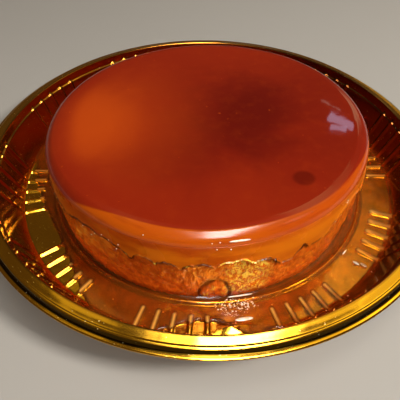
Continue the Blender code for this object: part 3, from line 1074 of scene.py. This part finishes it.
# seen in reflections only: a long fitting overhead with a dim surround,
# bright walls at the right and a window far away
# (name, place, target, size, glow, colour, turn in degrees)
SEEN = (
    ("fitting", (0.13, -0.58, 1.12), (0.13, -0.58, 0), (0.34, 1.24), 30, WARM),
    ("surround", (0.13, -0.58, 1.13), (0.13, -0.58, 0), (0.66, 1.3), 2, (1, 0.97, 0.88)),
    ("bright_wall", (0.654, 0.61, 1.302), MIDDLE, (0.58, 0.34), 1.2, WALL),
    ("wall_low", (0.76, 0.87, 1.14), MIDDLE, (0.56, 0.2), 0.5, WALL),
    ("bright_low", (0.7, 1.165, 0.69), MIDDLE, (0.22, 0.34), 1.3, (1, 0.92, 0.5)),
    ("dim_near", (-0.52, 0.1, 1.13), MIDDLE, (0.32, 0.32), 0.5, WALL),
    ("bright_upper", (0.34, 0.59, 1.07), MIDDLE, (0.36, 0.2), 0.5, WALL),
    ("bright_side", (1, 0.3, 1.15), MIDDLE, (0.62, 0.5), 0.85, WALL),
    ("bright_ceiling", (0.52, 0.15, 1.13), MIDDLE, (0.42, 0.42), 0.85, WALL),
    ("dim_left", (-0.37, 0.47, 1.08), MIDDLE, (0.36, 0.22), 0.42, WALL),
    ("window", (0.604, 1.569, 1.174), GLINT, (0.125, 0.038), 3.6, SKY, -16),
    ("window_foot", (0.592, 1.549, 1.203), GLINT, (0.072, 0.026), 3.8, SKY),
    ("window_frame", (0.556, 1.621, 1.118), GLINT, (0.1, 0.006), 2.2, (0.9, 0.75, 0.6), -26),
)

# soft lights that give no reflections
SOFT = (
    ("key", (0.95, -0.44, 1.05), MIDDLE, (0.3, 0.3), 74, (1, 0.93, 0.84)),
    ("above", (0.05, -0.05, 1.2), (0.05, -0.05, 0), (0.5, 0.5), 1.6, (1, 0.94, 0.86)),
    ("front", (-0.35, -1.25, 1), MIDDLE, (0.6, 0.6), 6, (1, 0.92, 0.82)),
)

CAMERA_PLACE = (-0.00532, -0.2414, 0.22587)
CAMERA_DOWN, CAMERA_ROLL = 46.204, 0.682  # degrees


def placed(name, data, place, turned):
    """A new object in the scene with its data, place and rotation."""
    thing = bpy.data.objects.new(name, data)
    bpy.context.scene.collection.objects.link(thing)
    thing.matrix_world = Matrix.Translation(place) @ turned
    return thing


def area_light(name, place, target, size, glow, colour, degrees=0):
    """A soft rectangular light of an even glow, facing a target."""
    data = bpy.data.lights.new(name, "AREA")
    data.shape = "RECTANGLE"
    data.size, data.size_y = size
    data.energy = glow * pi * size[0] * size[1]
    data.color = colour
    facing = (Vector(target) - Vector(place)).to_track_quat("-Z", "Y")
    return placed(name, data, place, facing.to_matrix().to_4x4()
                  @ Matrix.Rotation(radians(degrees), 4, "Z"))


class CUSTARD_OT_stage(Operator):
    """Make the plain floor, the soft lights and the camera"""
    bl_idname = "custard.stage"
    bl_label = "Stage"

    def execute(self, context):
        scene = context.scene
        half = scene.stage_sizes.floor / 2
        corners = np.array([(-1, -1, 0), (1, -1, 0), (1, 1, 0), (-1, 1, 0)]) * half
        floor = mesh_piece("floor", corners, np.array([[0, 1, 2, 3]]))
        f = Finish("floor_pale")
        tone = f.mix(f.noise(3, 2, 0.5), (0.4, 0.39, 0.37), (0.44, 0.43, 0.41))
        floor.data.materials.append(f.finish({"Base Color": tone, "Roughness": 0.75}))
        world = bpy.data.worlds.new("soft_room")
        world.use_nodes = True
        back = world.node_tree.nodes["Background"]
        back.inputs["Color"].default_value = (1, 0.7, 0.42, 1)
        back.inputs["Strength"].default_value = 0.075
        scene.world = world
        scene.view_settings.view_transform = "Standard"
        for row in SEEN:
            area_light(*row).visible_diffuse = False
        for row in SOFT:
            area_light(*row).visible_glossy = False
        camera = bpy.data.cameras.new("camera")
        camera.sensor_width = 36
        camera.lens = scene.stage_sizes.lens
        tilt = Matrix.Rotation(radians(90 - CAMERA_DOWN), 4, "X")
        roll = Matrix.Rotation(radians(CAMERA_ROLL), 4, "Z")
        scene.camera = placed("camera", camera, CAMERA_PLACE, tilt @ roll)
        return {"FINISHED"}


class CUSTARD_PT_panel(Panel):
    """Lists the operators that dress the custard"""
    bl_idname = "CUSTARD_PT_panel"
    bl_label = "Caramel custard"
    bl_space_type = "VIEW_3D"
    bl_region_type = "UI"
    bl_category = "Custard"

    def draw(self, context):
        column = self.layout.column(align=True)
        for name in OPERATOR_NAMES:
            column.operator(f"custard.{name}")


OPERATOR_NAMES = ("platter", "custard", "caramel", "syrup", "stage")
GROUPS = {"platter_sizes": PlatterSizes, "food_sizes": FoodSizes,
          "syrup_sizes": SyrupSizes, "look_colours": LookColours,
          "stage_sizes": StageSizes}
CLASSES = (*GROUPS.values(), CUSTARD_OT_platter, CUSTARD_OT_custard,
           CUSTARD_OT_caramel, CUSTARD_OT_syrup, CUSTARD_OT_stage,
           CUSTARD_PT_panel)


def register():
    for item in CLASSES:
        bpy.utils.register_class(item)
    for name, group in GROUPS.items():
        setattr(bpy.types.Scene, name, PointerProperty(type=group))


def unregister():
    for name in GROUPS:
        delattr(bpy.types.Scene, name)
    for item in reversed(CLASSES):
        bpy.utils.unregister_class(item)


def main():
    """Register the add-on, dress every solid and set the stage."""
    register()
    for name in OPERATOR_NAMES:
        getattr(bpy.ops.custard, name)()


if __name__ == "__main__":
    main()
